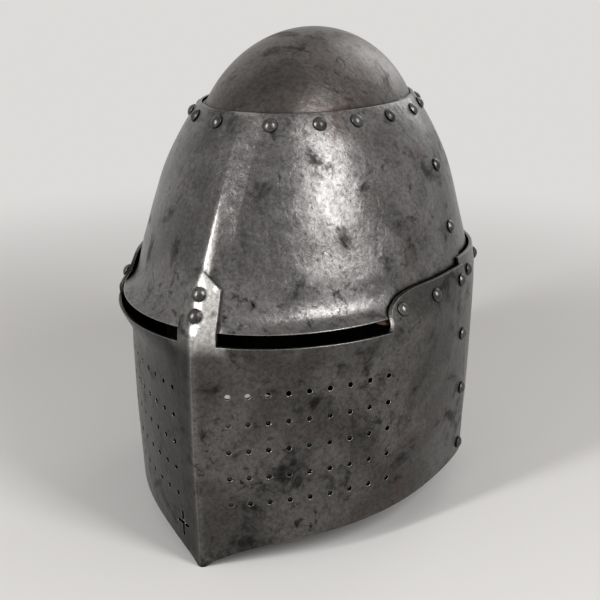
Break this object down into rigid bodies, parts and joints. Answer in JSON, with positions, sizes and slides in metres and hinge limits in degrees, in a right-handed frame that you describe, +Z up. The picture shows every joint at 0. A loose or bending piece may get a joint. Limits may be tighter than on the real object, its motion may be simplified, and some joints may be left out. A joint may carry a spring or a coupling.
{
  "type": "great helm",
  "caption": "Great helm of riveted steel plates with a keeled face, eye slits, breaths, a domed crown and a quilted linen lining.",
  "frame": {"origin": "on the ground under the middle of the helm's box, as the helm stands on the tip of its keel and the edge of its neck plate", "axes": "+Z up, the face looks along -Y, the wearer's left is +X"},
  "size_m": [0.2486, 0.3004, 0.3275],
  "materials": {
    "plate_steel": "dark aged plate, mottled, finely pitted, worn bright along its edges",
    "rivet_iron": "hammered round heads, dark, rubbed on top",
    "band_leather": "dark brown oiled leather",
    "strap_leather": "worn strap leather",
    "liner_linen": "undyed quilted linen, matt",
    "buckle_iron": "forged iron, dark"
  },
  "bodies": {
    "helm": {"crown_plate": "plate_steel", "front_skull_plate": "plate_steel", "rear_skull_plate": "plate_steel", "face_plate": "plate_steel", "neck_plate": "plate_steel", "crown_rivets": "rivet_iron", "nasal_rivets": "rivet_iron", "left_skull_rivets": "rivet_iron", "right_skull_rivets": "rivet_iron", "left_temple_rivets": "rivet_iron", "right_temple_rivets": "rivet_iron", "left_face_rivets": "rivet_iron", "right_face_rivets": "rivet_iron", "neck_rivets": "rivet_iron", "liner_band": "band_leather", "crown_patch": "band_leather", "buckle_strap": "strap_leather", "billet_strap": "strap_leather", "liner_lobe_brow_left": "liner_linen", "liner_lobe_temple_left": "liner_linen", "liner_lobe_ear_left": "liner_linen", "liner_lobe_nape_left": "liner_linen", "liner_lobe_brow_right": "liner_linen", "liner_lobe_temple_right": "liner_linen", "liner_lobe_ear_right": "liner_linen", "liner_lobe_nape_right": "liner_linen"},
    "buckle_frame_body": {"buckle_frame": "buckle_iron"},
    "buckle_prong_body": {"buckle_prong": "buckle_iron"}
  },
  "joints": [
    {"name": "buckle_swing", "type": "hinge", "parent": "helm", "child": "buckle_frame_body", "pos_m": [0.10997, 0.0124, 0.078], "axis": [0, 1, 0], "range_deg": [0, 60]},
    {"name": "prong_swing", "type": "hinge", "parent": "buckle_frame_body", "child": "buckle_prong_body", "pos_m": [0.10997, 0.0124, 0.078], "axis": [0, 1, 0], "range_deg": [0, 75]}
  ]
}
